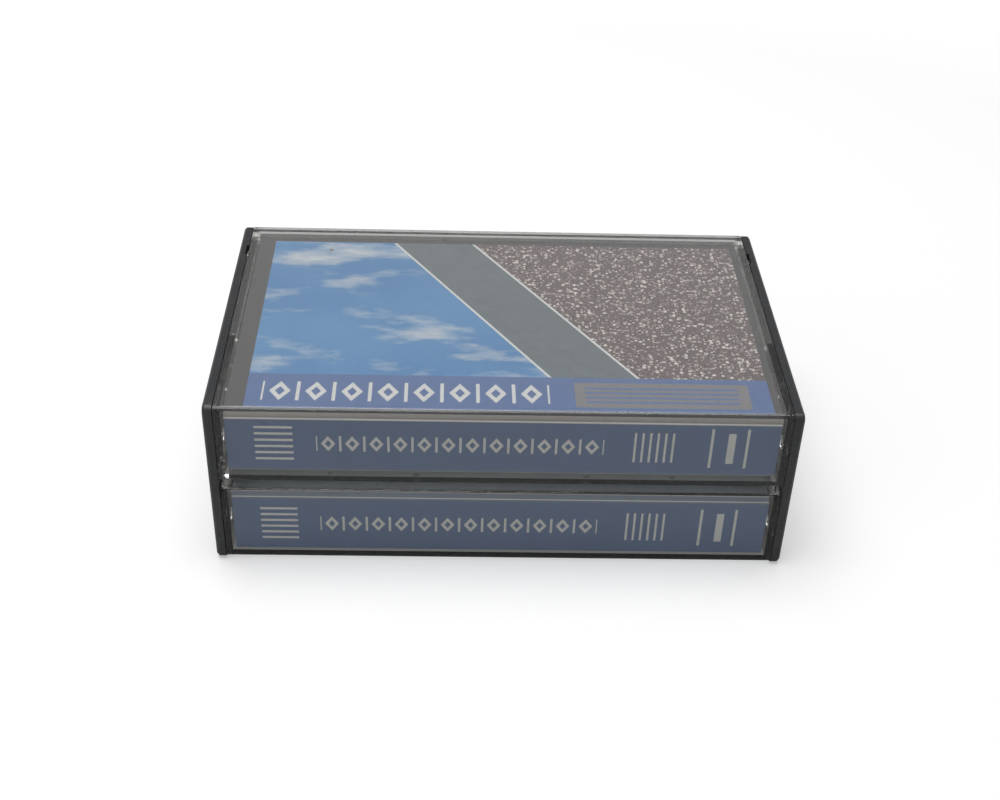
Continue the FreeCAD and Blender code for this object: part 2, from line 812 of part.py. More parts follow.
def tape_path(gap):
    """Edges of the free tape's path at a gap from the packs and rollers."""
    down = V(0, -1, 0)
    roller_reach = roller_radius + gap
    path = []
    for side, pack_radius in ((1, supply_pack_radius), (-1, takeup_pack_radius)):
        roller = V(-side * roller_x, roller_from_mouth, 0)
        hub_centre = V(-side * hub_offset, hub_line_from_mouth, 0)
        normal = tangent_normal(roller, hub_centre, roller_radius, pack_radius, side)
        halfway = (normal + down).normalize()
        points = [hub_centre + normal * (pack_radius + gap), roller + normal * roller_reach,
                  roller + halfway * roller_reach, roller + down * roller_reach]
        path.append(points)
    return path


def tape_run():
    """Free tape from the supply pack round both rollers to the take-up pack."""
    near = tape_path(tape_gap)
    far = tape_path(tape_gap + tape_thickness)
    edges = []
    for left, right in (near, far):
        edges += [Part.LineSegment(left[0], left[1]).toShape(),
                  Part.Arc(left[1], left[2], left[3]).toShape(),
                  Part.LineSegment(left[3], right[3]).toShape(),
                  Part.Arc(right[3], right[2], right[1]).toShape(),
                  Part.LineSegment(right[1], right[0]).toShape()]
    edges.append(Part.LineSegment(near[0][0], far[0][0]).toShape())
    edges.append(Part.LineSegment(near[1][0], far[1][0]).toShape())
    wire = Part.Wire(Part.__sortEdges__(edges))
    ribbon = Part.Face(wire).extrude(V(0, 0, tape_width))
    ribbon.translate(V(0, 0, -tape_half))
    return ribbon


def pressure_pad():
    """Felt pad behind the tape, on the leaf spring."""
    return block(centred(0, pad_length / 2), (pad_front, spring_front),
                 centred(0, pad_height / 2))


def pad_spring():
    """Leaf spring with two turned tabs that embrace the pad."""
    leaf = block(centred(0, spring_length / 2), (spring_front, spring_front + spring_sheet),
                 centred(0, spring_height / 2))
    tabs = []
    for side in (-1, 1):
        inner = pad_length / 2
        x_range = sorted((side * inner, side * (inner + spring_sheet)))
        tabs.append(block(x_range, (spring_front - spring_tab / 2, spring_front),
                          centred(0, pad_height / 2)))
    return fused([leaf] + tabs)


def shield_plate():
    """Magnetic shield behind the spring."""
    return block(centred(0, shield_length / 2), (shield_front, shield_front + shield_sheet),
                 centred(0, shield_height / 2))


def cassette_pieces():
    """All pieces of one cassette, by name, in its own frame."""
    supply = V(-hub_offset, hub_line_from_mouth, 0)
    takeup = V(hub_offset, hub_line_from_mouth, 0)
    pieces = {"cassette_half_a": shell_half(True),
              "cassette_half_b": turned_over(shell_half(False)),
              "window_a": window(), "window_b": turned_over(window()),
              "label_a": label(), "label_b": turned_over(label()),
              "liner_a": liner(), "liner_b": turned_over(liner()),
              "tape_run": tape_run(), "roller_pins": roller_pins(),
              "pressure_pad": pressure_pad(), "pad_spring": pad_spring(),
              "shield_plate": shield_plate(), "shell_screws": shell_screws()}
    for name, centre, radius in (("supply", supply, supply_pack_radius),
                                 ("takeup", takeup, takeup_pack_radius)):
        roller_centre = V(math.copysign(roller_x, centre.x), roller_from_mouth, 0)
        pieces[name + "_hub"] = moved(hub(), centre)
        pieces[name + "_clip"] = moved(hub_clip(), centre)
        pieces[name + "_pack"] = moved(tape_pack(radius), centre)
        pieces[name + "_roller"] = moved(guide_roller(), roller_centre)
    return pieces


def upper_half():
    """All pieces of the upper half, by name, in the case's frame."""
    seat = V(0, cassette_front, cassette_middle)
    pieces = {name: moved(shape, seat) for name, shape in cassette_pieces().items()}
    pieces["lid"] = lid()
    pieces["inlay_card"] = inlay_card()
    return pieces


def main():
    """Write every piece to its own file."""
    os.makedirs("parts", exist_ok=True)
    centre_tray().exportStep("parts/centre_tray.step")
    for name, shape in upper_half().items():
        shape.exportStep("parts/upper_" + name + ".step")
        turned_over(shape, middle).exportStep("parts/lower_" + name + ".step")
    print("case", round(case_length, 2), round(case_depth, 2), round(case_height, 2))
    print("pivot", round(pivot_y, 3), round(pivot_z, 3), "hub y",
          round(cassette_front + hub_line_from_mouth, 3), "roller y",
          round(cassette_front + roller_from_mouth, 3), "roller x", round(roller_x, 3),
          "cassette middle", round(cassette_middle, 3))
    print("pack radii", round(supply_pack_radius, 3), round(takeup_pack_radius, 3))


main()
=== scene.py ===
"""Looks, light and camera for a double cassette case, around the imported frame.

Lengths in the shaders are in millimetres: each shader reads its place from object coordinates,
which are metres in the frame's axes, and scales it. A noise's scale is in features for each
millimetre.
"""
import math

import bpy
from mathutils import Matrix, Vector


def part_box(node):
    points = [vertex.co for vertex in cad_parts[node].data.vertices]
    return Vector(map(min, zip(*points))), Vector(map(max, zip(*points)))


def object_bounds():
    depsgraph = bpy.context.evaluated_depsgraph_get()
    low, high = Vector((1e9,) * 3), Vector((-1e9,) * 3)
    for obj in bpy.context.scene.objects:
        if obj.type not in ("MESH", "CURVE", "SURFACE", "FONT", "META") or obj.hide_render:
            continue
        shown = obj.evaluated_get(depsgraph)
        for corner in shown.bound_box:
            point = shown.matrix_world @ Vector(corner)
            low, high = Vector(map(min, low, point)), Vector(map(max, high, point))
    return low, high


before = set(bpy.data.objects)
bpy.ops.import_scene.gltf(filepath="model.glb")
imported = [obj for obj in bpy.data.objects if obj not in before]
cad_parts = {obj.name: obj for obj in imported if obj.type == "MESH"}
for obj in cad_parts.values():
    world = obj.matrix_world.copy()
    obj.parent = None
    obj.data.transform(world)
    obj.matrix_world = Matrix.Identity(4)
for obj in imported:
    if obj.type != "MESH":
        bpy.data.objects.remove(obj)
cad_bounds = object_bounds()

MM = 0.001
PER_METRE = 1000.0
HALVES = ("upper", "lower")

# Camera: angles in degrees, lengths in metres, the sensor in millimetres, the rest in pixels
CAMERA_AZIMUTH = -2.429
CAMERA_ELEVATION = 37.842
CAMERA_ROLL = 2.189
CAMERA_DISTANCE = 0.27695
CAMERA_TARGET = (-0.00057, -0.03866, 0.0180)
CAMERA_NEAR = 0.01
SENSOR_WIDTH = 36.0
FOCAL_PIXELS = 1499.4
AXIS_BELOW_CENTRE = 100
PICTURE_WIDTH = 1000

# Surroundings: strength for each kind of ray
WORLD_DIFFUSE = 0.24
WORLD_GLOSSY = 0.235
WORLD_THROUGH = 0.80
WORLD_SEEN = 1.0

# Lamps: places and sizes in metres, powers in watts
KEY_POWER = 6.6
KEY_SIZE = 0.75
KEY_PLACE = (-0.12, 0.05, 0.95)
FILL_POWER = 1.1
FILL_SIZE = 0.6
FILL_PLACE = (-0.75, -0.6, 0.45)

# Floor: lengths in metres, greys, and the strength of its glow
FLOOR_HALF = 3.0
FLOOR_GAP = 0.01 * MM
FLOOR_NEAR = 0.25
FLOOR_FAR = 1.0
FLOOR_ALBEDO = 0.80
FLOOR_REFLECTED = 0.45
FLOOR_GLOW = 0.34
FLOOR_FAR_GLOW = 1.0
FLOOR_THROUGH = 0.10


def grey(level):
    """Linear grey."""
    return (level, level, level, 1.0)


# Plastic colours, linear
BLACK_PLASTIC = (0.037, 0.0385, 0.041, 1.0)
WORN_PLASTIC = grey(0.10)
CLEAR_TINT = (0.955, 0.95, 0.935, 1.0)
SHADOW_TINT = (0.90, 0.91, 0.91, 1.0)
SHELL_GREY = (0.56, 0.56, 0.54, 1.0)
HUB_WHITE = (0.72, 0.72, 0.69, 1.0)
ROLLER_WHITE = (0.66, 0.66, 0.62, 1.0)
LINER_GREY = (0.055, 0.055, 0.062, 1.0)

# Print and paper colours, linear
PERIWINKLE = (0.050, 0.125, 0.340, 1.0)
STEEL_BLUE = (0.058, 0.115, 0.250, 1.0)
# Painted glow of the lid's front corner, not print: a grey band on the upper card
PAINTED_GLOW_GREY = (0.27, 0.25, 0.235, 1.0)
FLAP_BLUE = (0.11, 0.15, 0.22, 1.0)
FLAP_PALE = (0.70, 0.75, 0.80, 1.0)
BEIGE_GREY = (0.185, 0.182, 0.200, 1.0)
SLATE = (0.115, 0.150, 0.172, 1.0)
SLATE_DARK = (0.085, 0.112, 0.130, 1.0)
SKY = (0.030, 0.215, 0.510, 1.0)
SKY_PALE = (0.080, 0.290, 0.590, 1.0)
STREAK = (0.80, 0.82, 0.82, 1.0)
MAUVE = (0.180, 0.120, 0.118, 1.0)
MAUVE_DARK = (0.018, 0.012, 0.018, 1.0)
FLECK = (0.90, 0.82, 0.78, 1.0)
MARGIN = (0.010, 0.010, 0.012, 1.0)
SPOT_BROWN = (0.16, 0.115, 0.075, 1.0)
INK_PALE = (0.60, 0.61, 0.58, 1.0)
INK_WHITE = (0.80, 0.81, 0.80, 1.0)
PAPER = (0.74, 0.73, 0.70, 1.0)
LABEL_PAPER = (0.74, 0.73, 0.68, 1.0)
LABEL_PAPER_DARK = (0.66, 0.65, 0.60, 1.0)

# Tape, felt and metal colours, linear
TAPE_BROWN = (0.040, 0.022, 0.014, 1.0)
TAPE_RING_DARK = (0.030, 0.017, 0.012, 1.0)
TAPE_RING_PALE = (0.052, 0.030, 0.020, 1.0)
FELT_DARK = (0.30, 0.23, 0.14, 1.0)
FELT_PALE = (0.46, 0.37, 0.24, 1.0)
PIN_STEEL = (0.60, 0.60, 0.60, 1.0)
SCREW_STEEL = (0.52, 0.52, 0.54, 1.0)
SHIELD_METAL = (0.50, 0.50, 0.49, 1.0)
SPRING_BRONZE = (0.68, 0.40, 0.20, 1.0)

# Noise values where a change starts and where it is full
NOISE_WIDE = (0.3, 0.7)
NOISE_MIDDLE = (0.35, 0.65)
NOISE_PATCHES = (0.45, 0.75)

# Scratches: turn in radians and noise scale along and across, for each direction
SCRATCH_KINDS = ((0.5, 0.030, 1.1), (-0.9, 0.045, 1.4))
SCRATCH_RISE = (0.76, 0.82)

# Black plastic: shaded round of the edges, and how far in from them wear starts and is full
EDGE_ROUND = 0.18
WEAR_START = 0.5
WEAR_FULL = 0.1
WEAR_PALENESS = 0.35
BLACK_SCRATCH_PALENESS = 0.10
BLACK_SCRATCH_ROUGHNESS = 0.12
BLACK_ROUGHNESS = (0.24, 0.36)
BLACK_IOR = 1.5

# Clear plastic: share of light that passes, and ray depth past which a ray goes straight on
CLEARNESS = 0.978
DEEPEST_RAY = 7.5
CLEAR_SCRATCH_ROUGHNESS = 0.09
CLEAR_SCRATCH_SHARE = 0.5
CLEAR_ROUGHNESS = (0.012, 0.075)
CLEAR_IOR = 1.49
WAVE_SCALES = (0.03, 0.05, 0.05)
WAVE_SHARE = 8.0

# Half the spread of roughness
MATT_SPREAD = 0.06
METAL_SPREAD = 0.08

# Print: soft edges, to each side
PRINT_SOFT = 0.05
RULE_SOFT = 0.04

# Cover print: u goes along the spine and v away from it, both from the case's middle
SLANT_SHARE = 0.6
SLATE_RANGE = (-4.0, 12.0)
SLANT_LINE = 0.6
FRONT_BAND_TOP = -21.65
PLATE_U = (13.0, 45.5)
PLATE_V = (-31.4, -23.3)
PLATE_SIDE = 2.0
PLATE_END = 1.0
PLATE_PERIOD = 1.5
PLATE_SHARE = 0.42
COVER_ROW_START = -44.5
COVER_ROW_COUNT = 8
COVER_ROW_PERIOD = 6.6
COVER_ROW_MIDDLE = -27.3
COVER_ROW_HALF = 3.1
PRINT_U = (-47.4, 49.4)
PRINT_V = (-32.6, 29.6)

# Streaks of the blue field: turn in degrees, and noise scales along, across and through
STREAK_TURN = -32
STREAK_SCALES = (0.034, 0.085, 0.05)
STREAK_RISE = (0.52, 0.68)
STREAK_STRENGTH = 0.9

# Speckles: cell scale and share of cells that hold one, for each size
SPECKLE_KINDS = ((1.3, 0.30), (2.1, 0.26))
SPECKLE_SOFT = 0.03
SPECKLE_FAINTEST = 0.15
SPECKLE_RADIUS = (0.52, 0.44)
SPECKLE_GROUND = (0.36, 0.64)

# Lozenge rows: half widths as shares of the period, and rims as shares of a lozenge's reach
LOZENGE_SHARE = 0.30
ROW_BAR_SHARE = 0.05
ROW_OUTER_RIM = (1.04, 0.96)
ROW_INNER_RIM = (0.42, 0.50)

# Spine print: places along the spine, and half heights from its middle
SPINE_ROW_START = -34.4
SPINE_ROW_COUNT = 12
SPINE_ROW_PERIOD = 4.4
SPINE_ROW_HALF = 1.7
SPINE_RULES_U = (-45.6, -38.6)
SPINE_RULES_HALF = 4.2
SPINE_RULE_SHARE = 0.36
SPINE_BARS_U = (23.4, 31.8)
SPINE_BARS_HALF = 3.3
SPINE_BAR_SHARE = 0.30
SPINE_PERIOD = 1.4
SPINE_POSTS = ((38.0, 38.5, 4.4), (41.2, 42.6, 3.4), (44.6, 45.1, 4.4))

# Card: its thickness, and how far in its folds and the flap's strip reach
CARD_THICKNESS = 0.25
SIDE_SOFT_SHARE = 0.05
FOLD_REACH = 0.6
FOLD_SOFT = 0.02
SPINE_REACH = 0.20
FLAP_STRIP = 1.4

# Painted glow and painted highlight line at the upper card's fold, standing in for light that
# the lid's corner carries: places down from its top
GLOW_FOOT = 1.2
GLOW_SOFT = 0.04
HIGHLIGHT_LINE_FOOT = 1.05
HIGHLIGHT_LINE_TOP = 0.75

# Brown spots on the card: radius and its unevenness as shares of a cell
SPOT_SCALE = 0.055
SPOT_RADIUS = (0.040, 0.030)
SPOT_UNEVENNESS = 0.012

# Card's surface: size of the normal's X at a cut end, tone of the ink, and roughness
CUT_RANGE = (0.6, 0.8)
INK_TONE = (0.94, 1.05)
PRINTED_ROUGHNESS = (0.36, 0.48)
BARE_ROUGHNESS = 0.3

# Label: places in from its sides and down from its top, but for the foot's, up from its foot
LABEL_RULES_SIDE = 5
LABEL_RULES_V = (6.6, 1.2)
LABEL_RULE_PERIOD = 2.6
LABEL_RULE_SHARE = 0.06
LABEL_STRIPES = ((8.6, 7.4), (10.4, 10.0))
LABEL_FOOT = (1.2, 3.4)


class Shader:
    """A material's node tree, with short calls for the nodes that it needs."""

    def __init__(self, name):
        self.material = bpy.data.materials.new(name)
        self.material.use_nodes = True
        self.tree = self.material.node_tree
        self.tree.nodes.clear()
        self.out = self.tree.nodes.new("ShaderNodeOutputMaterial")

    def feed(self, socket, value):
        """Links a socket to another, or sets its value."""
        if isinstance(value, bpy.types.NodeSocket):
            self.tree.links.new(value, socket)
        else:
            socket.default_value = value

    def add(self, kind, inputs=None, **settings):
        """Node of a kind, with its settings, and its inputs fed."""
        node = self.tree.nodes.new("ShaderNode" + kind)
        for key, value in settings.items():
            setattr(node, key, value)
        for key, value in (inputs or {}).items():
            self.feed(node.inputs[key], value)
        return node

    def math(self, operation, first, second=0.0):
        """Result of an operation on one or two values."""
        return self.add("Math", {0: first, 1: second}, operation=operation).outputs[0]

    def mix(self, factor, first, second):
        """Colour between two colours."""
        node = self.add("Mix", {0: factor, 6: first, 7: second}, data_type="RGBA")
        return node.outputs[2]

    def ramp(self, value, low, high, start=0.0, end=1.0):
        """Value that goes from start to end between two limits."""
        node = self.add("MapRange", {"Value": value, "From Min": low, "From Max": high,
                                     "To Min": start, "To Max": end})
        return node.outputs[0]

    def above(self, value, limit, soft=PRINT_SOFT):
        """1 above a limit and 0 below it, with a soft change."""
        return self.ramp(value, limit - soft, limit + soft)

    def below(self, value, limit, soft=PRINT_SOFT):
        """1 below a limit and 0 above it, with a soft change."""
        return self.ramp(value, limit + soft, limit - soft)

    def between(self, value, low, high, soft=PRINT_SOFT):
        """1 where a value is between two limits, with soft ends."""
        rise = self.above(value, low, soft)
        fall = self.ramp(value, high - soft, high + soft, start=1.0, end=0.0)
        return self.math("MULTIPLY", rise, fall)

    def rectangle(self, u, v, u_range, v_range):
        """1 inside a rectangle."""
        return self.math("MULTIPLY", self.between(u, *u_range), self.between(v, *v_range))

    def any_of(self, masks):
        """1 where any mask is 1."""
        whole = masks[0]
        for mask in masks[1:]:
            whole = self.math("MAXIMUM", whole, mask)
        return whole

    def repeat(self, value, period, start=0.0):
        """Distance along a pattern's period, measured from the middle of it."""
        wrapped = self.math("FLOORED_MODULO", self.math("SUBTRACT", value, start), period)
        return self.math("SUBTRACT", wrapped, period / 2)

    def place(self):
        """The place in millimetres, as a vector and as x, y and z."""
        source = self.add("TexCoord").outputs["Object"]
        scaled = self.add("VectorMath", {0: source, "Scale": PER_METRE}, operation="SCALE")
        parts = self.add("SeparateXYZ", {0: scaled.outputs[0]})
        return scaled.outputs[0], parts.outputs[0], parts.outputs[1], parts.outputs[2]

    def stretched(self, place, x, y, z, turn=0.0):
        """The place, scaled by three factors and then turned about Z."""
        node = self.add("Mapping", {0: place, "Scale": (x, y, z), "Rotation": (0, 0, turn)})
        return node.outputs[0]

    def noise(self, place, scale, detail=3.0, roughness=0.5):
        """Noise from 0 to 1."""
        node = self.add("TexNoise", {"Vector": place, "Scale": scale, "Detail": detail,
                                     "Roughness": roughness})
        return node.outputs[0]

    def bump(self, height, depth, strength=1.0, edge=None):
        """Normal from a height, whose 1 is a depth in millimetres, over another normal."""
        node = self.add("Bump", {"Height": height, "Distance": depth * MM,
                                 "Strength": strength})
        if edge is not None:
            self.feed(node.inputs["Normal"], edge)
        return node.outputs[0]

    def round_edge(self, radius):
        """Normal that looks rounded at hard edges, with a radius in millimetres."""
        return self.add("Bevel", {"Radius": radius * MM}, samples=6).outputs[0]

    def principled(self, **inputs):
        """Principled shader, with its inputs named by words joined with underscores."""
        node = self.add("BsdfPrincipled")
        for key, value in inputs.items():
            self.feed(node.inputs[key.replace("_", " ")], value)
        return node.outputs[0]

    def finish(self, surface):
        """Links the surface and gives the material."""
        self.tree.links.new(surface, self.out.inputs["Surface"])
        return self.material


# Plastics

def scratches(shader, place):
    """Fine sparse scratches in two directions, as a height from 0 to 1."""
    lines = []
    for turn, long_scale, cross_scale in SCRATCH_KINDS:
        turned = shader.add("VectorRotate", {"Vector": place, "Angle": turn},
                            rotation_type="Z_AXIS").outputs[0]
        stretched = shader.stretched(turned, long_scale, cross_scale, cross_scale)
        grain = shader.noise(stretched, scale=1.0, detail=0.0)
        lines.append(shader.ramp(grain, *SCRATCH_RISE))
    return shader.any_of(lines)


def black_plastic():
    """Satin black moulding: fine texture, faint scratches, edges a little worn."""
    shader = Shader("black_plastic")
    place, _, y, z = shader.place()
    edge_y = cad_bounds[1][1] * PER_METRE
    middle_z = cad_bounds[1][2] * PER_METRE / 2
    grain = shader.noise(place, scale=3.2, detail=4.0, roughness=0.6)
    patches = shader.noise(place, scale=0.12, detail=2.0)
    lines = scratches(shader, place)
    worn_y = shader.ramp(shader.math("ABSOLUTE", y), edge_y - WEAR_START, edge_y - WEAR_FULL)
    off_middle = shader.math("ABSOLUTE", shader.math("SUBTRACT", z, middle_z))
    worn_z = shader.ramp(off_middle, middle_z - WEAR_START, middle_z - WEAR_FULL)
    edges = shader.math("MAXIMUM", worn_y, worn_z)
    rubbed = shader.ramp(shader.noise(place, scale=0.9, detail=5.0, roughness=0.7),
                         *NOISE_PATCHES)
    worn = shader.math("MULTIPLY", edges, rubbed)
    light = shader.math("ADD", shader.math("MULTIPLY", worn, WEAR_PALENESS),
                        shader.math("MULTIPLY", lines, BLACK_SCRATCH_PALENESS))
    colour = shader.mix(light, BLACK_PLASTIC, WORN_PLASTIC)
    roughness = shader.math("ADD", shader.ramp(patches, *NOISE_WIDE, *BLACK_ROUGHNESS),
                            shader.math("MULTIPLY", lines, BLACK_SCRATCH_ROUGHNESS))
    height = shader.math("SUBTRACT", grain, lines)
    normal = shader.bump(height, depth=0.005, strength=0.6, edge=shader.round_edge(EDGE_ROUND))
    return shader.finish(shader.principled(Base_Color=colour, Roughness=roughness,
                                           IOR=BLACK_IOR, Normal=normal))


def glass_surface(shader, roughness, normal):
    """Clear plastic that lets the lamps' light through to what is behind it."""
    glass = shader.principled(Base_Color=CLEAR_TINT, Roughness=roughness, Normal=normal,
                              IOR=CLEAR_IOR, Transmission_Weight=CLEARNESS)
    clear = shader.add("BsdfTransparent", {"Color": SHADOW_TINT}).outputs[0]
    path = shader.add("LightPath").outputs
    trapped = shader.math("GREATER_THAN", path["Ray Depth"], DEEPEST_RAY)
    through = shader.any_of([path["Is Shadow Ray"], path["Is Diffuse Ray"], trapped])
    return shader.add("MixShader", {0: through, 1: glass, 2: clear}).outputs[0]


def clear_plastic(name):
    """Polished clear moulding with handling haze, fine scratches and slight waves."""
    shader = Shader(name)
    place, _, _, _ = shader.place()
    smudges = shader.noise(place, scale=0.07, roughness=0.6)
    lines = scratches(shader, place)
    haze = shader.ramp(smudges, *NOISE_PATCHES, *CLEAR_ROUGHNESS)
    roughness = shader.math("ADD", haze,
                            shader.math("MULTIPLY", lines, CLEAR_SCRATCH_ROUGHNESS))
    waves = shader.noise(shader.stretched(place, *WAVE_SCALES), scale=1.0, detail=1.0)
    height = shader.math("SUBTRACT", shader.math("MULTIPLY", waves, WAVE_SHARE),
                         shader.math("MULTIPLY", lines, CLEAR_SCRATCH_SHARE))
    return shader.finish(glass_surface(shader, roughness, shader.bump(height, depth=0.004)))


def matt_plastic(name, colour, roughness, grain_scale=2.4, unevenness=0.06):
    """Fine textured plastic with a slight unevenness of colour."""
    shader = Shader(name)
    place, _, _, _ = shader.place()
    grain = shader.noise(place, scale=grain_scale, detail=5.0, roughness=0.65)
    patches = shader.noise(place, scale=0.15)
    dark = tuple(value * (1 - 2 * unevenness) for value in colour[:3]) + (1.0,)
    shade = shader.mix(shader.ramp(patches, *NOISE_WIDE), dark, colour)
    rough = shader.ramp(grain, *NOISE_WIDE, roughness - MATT_SPREAD, roughness + MATT_SPREAD)
    return shader.finish(shader.principled(Base_Color=shade, Roughness=rough,
                                           Normal=shader.bump(grain, depth=0.01, strength=0.6)))


# Card

def frieze(shader, u, v, start, count, period, middle, half_height):
    """Row of lozenges with a slim bar between each two, cut off at both ends."""
    across = shader.repeat(u, period, start)
    up = shader.math("SUBTRACT", v, middle)
    reach = shader.math(
        "ADD", shader.math("DIVIDE", shader.math("ABSOLUTE", across), period * LOZENGE_SHARE),
        shader.math("DIVIDE", shader.math("ABSOLUTE", up), half_height))
    lozenge = shader.ramp(reach, *ROW_OUTER_RIM)
    hollow = shader.ramp(reach, *ROW_INNER_RIM)
    bars = shader.repeat(u, period, start + period / 2)
    half_bar = period * ROW_BAR_SHARE
    bar = shader.rectangle(bars, up, (-half_bar, half_bar), (-half_height, half_height))
    row = shader.math("MAXIMUM", shader.math("MULTIPLY", lozenge, hollow), bar)
    return shader.math("MULTIPLY", row, shader.between(u, start, start + count * period))


def rules(shader, u, v, u_range, v_range, period, share):
    """Stack of plain rules, each a share of the period wide."""
    line = shader.repeat(v, period, v_range[0])
    half_rule = period * share / 2
    stripe = shader.between(line, -half_rule, half_rule, RULE_SOFT)
    return shader.math("MULTIPLY", stripe, shader.rectangle(u, v, u_range, v_range))


def speckle(shader, place):
    """Dense confetti of two sizes over uneven mauve."""
    ground = shader.ramp(shader.noise(place, scale=2.2, roughness=0.65), *SPECKLE_GROUND)
    art = shader.mix(ground, MAUVE_DARK, MAUVE)
    for scale, share in SPECKLE_KINDS:
        cells = shader.add("TexVoronoi", {"Vector": place, "Scale": scale, "Randomness": 1.0})
        chance = shader.add("SeparateColor", {0: cells.outputs["Color"]}).outputs
        chosen = shader.ramp(chance[0], 1 - share, 1 - share + SPECKLE_SOFT)
        inside = shader.ramp(cells.outputs["Distance"], *SPECKLE_RADIUS)
        fleck = shader.math("MULTIPLY", chosen, inside)
        strength = shader.ramp(chance[1], 0.0, 1.0, start=SPECKLE_FAINTEST)
        art = shader.mix(shader.math("MULTIPLY", fleck, strength), art, FLECK)
    return art


def sky(shader, place):
    """Blue field with pale streaks."""
    streak_place = shader.stretched(place, *STREAK_SCALES, math.radians(STREAK_TURN))
    streaks = shader.ramp(shader.noise(streak_place, scale=1.0, detail=6.0, roughness=0.60),
                          *STREAK_RISE)
    soft = shader.ramp(shader.noise(place, scale=0.03, detail=2.0), *NOISE_MIDDLE)
    return shader.mix(shader.math("MULTIPLY", streaks, STREAK_STRENGTH),
                      shader.mix(soft, SKY, SKY_PALE), STREAK)


def front_band(shader, art, u, v):
    """The art with a band at its foot, which holds a plate of rules and a lozenge row."""
    rules_u = (PLATE_U[0] + PLATE_SIDE, PLATE_U[1] - PLATE_SIDE)
    rules_v = (PLATE_V[0] + PLATE_END, PLATE_V[1] - PLATE_END)
    art = shader.mix(shader.below(v, FRONT_BAND_TOP), art, PERIWINKLE)
    art = shader.mix(shader.rectangle(u, v, PLATE_U, PLATE_V), art, BEIGE_GREY)
    lines = rules(shader, u, v, rules_u, rules_v, PLATE_PERIOD, PLATE_SHARE)
    art = shader.mix(lines, art, PERIWINKLE)
    row = frieze(shader, u, v, COVER_ROW_START, COVER_ROW_COUNT, COVER_ROW_PERIOD,
                 COVER_ROW_MIDDLE, COVER_ROW_HALF)
    return shader.mix(row, art, INK_WHITE)


def panel_art(shader, place, u, v):
    """Generic cover: blue field with streaks, slate band, speckled field, front band."""
    start, end = SLATE_RANGE
    slant = shader.math("ADD", u, shader.math("MULTIPLY", v, SLANT_SHARE))
    blue = sky(shader, place)
    speckled = speckle(shader, place)
    cloudy = shader.ramp(shader.noise(place, scale=0.5, detail=5.0, roughness=0.7),
                         *NOISE_MIDDLE)
    slate = shader.mix(cloudy, SLATE_DARK, SLATE)
    art = shader.mix(shader.between(slant, start, end), blue, slate)
    art = shader.mix(shader.above(slant, end), art, speckled)
    lines = shader.any_of([shader.between(slant, start - SLANT_LINE, start),
                           shader.between(slant, end, end + SLANT_LINE)])
    art = shader.mix(lines, art, INK_WHITE)
    art = front_band(shader, art, u, v)
    return shader.mix(shader.rectangle(u, v, PRINT_U, PRINT_V), MARGIN, art)


def spine_art(shader, u, w):
    """Spine: steel blue with a frieze and plain marks. w is measured from the spine's middle."""
    marks = [frieze(shader, u, w, SPINE_ROW_START, SPINE_ROW_COUNT, SPINE_ROW_PERIOD, 0.0,
                    SPINE_ROW_HALF),
             rules(shader, u, w, SPINE_RULES_U, (-SPINE_RULES_HALF, SPINE_RULES_HALF),
                   SPINE_PERIOD, SPINE_RULE_SHARE),
             rules(shader, w, u, (-SPINE_BARS_HALF, SPINE_BARS_HALF), SPINE_BARS_U,
                   SPINE_PERIOD, SPINE_BAR_SHARE)]
    for start, end, half_height in SPINE_POSTS:
        marks.append(shader.rectangle(u, w, (start, end), (-half_height, half_height)))
    return shader.mix(shader.any_of(marks), STEEL_BLUE, INK_PALE)


def card_outside(shader, up, y, half_height, front):
    """1 on the card's outer side: the panel, the flap, the spine and the fold between."""
    halfway = CARD_THICKNESS / 2
    soft = CARD_THICKNESS * SIDE_SOFT_SHARE
    panel = shader.above(up, half_height - halfway, soft)
    flap = shader.below(up, halfway - half_height, soft)
    spine = shader.below(y, front + halfway, soft)
    fold = shader.math("MULTIPLY", shader.above(up, half_height - FOLD_REACH, FOLD_SOFT),
                       shader.below(y, front + FOLD_REACH, FOLD_SOFT))
    return shader.any_of([panel, flap, spine, fold])


def painted_corner_glow(shader, art, up, y, half_height, front):
    """Painted glow and highlight: a grey band and a white line along the top of the spine."""
    at_front = shader.below(y, front + FOLD_REACH, FOLD_SOFT)
    band = shader.math("MULTIPLY", at_front,
                       shader.above(up, half_height - GLOW_FOOT, GLOW_SOFT))
    art = shader.mix(band, art, PAINTED_GLOW_GREY)
    # Painted highlight: a white line where the lid's corner glints
    line = shader.math("MULTIPLY", at_front, shader.between(up, half_height - HIGHLIGHT_LINE_FOOT,
                                                            half_height - HIGHLIGHT_LINE_TOP))
    return shader.mix(line, art, INK_WHITE)


def uncut(shader):
    """1 on the card's faces, and 0 where it is cut off at its two ends."""
    normal = shader.add("SeparateXYZ", {0: shader.add("TexCoord").outputs["Normal"]}).outputs[0]
    cut = shader.ramp(shader.math("ABSOLUTE", normal), *CUT_RANGE)
    return shader.math("SUBTRACT", 1.0, cut)


def spotted(shader, art, place):
    """The art with a few small brown spots."""
    cells = shader.add("TexVoronoi", {"Vector": place, "Scale": SPOT_SCALE, "Randomness": 1.0})
    uneven = shader.ramp(shader.noise(place, scale=2.4, detail=2.0), *NOISE_WIDE,
                         -SPOT_UNEVENNESS, SPOT_UNEVENNESS)
    spot = shader.ramp(shader.math("ADD", cells.outputs["Distance"], uneven), *SPOT_RADIUS)
    return shader.mix(spot, art, SPOT_BROWN)


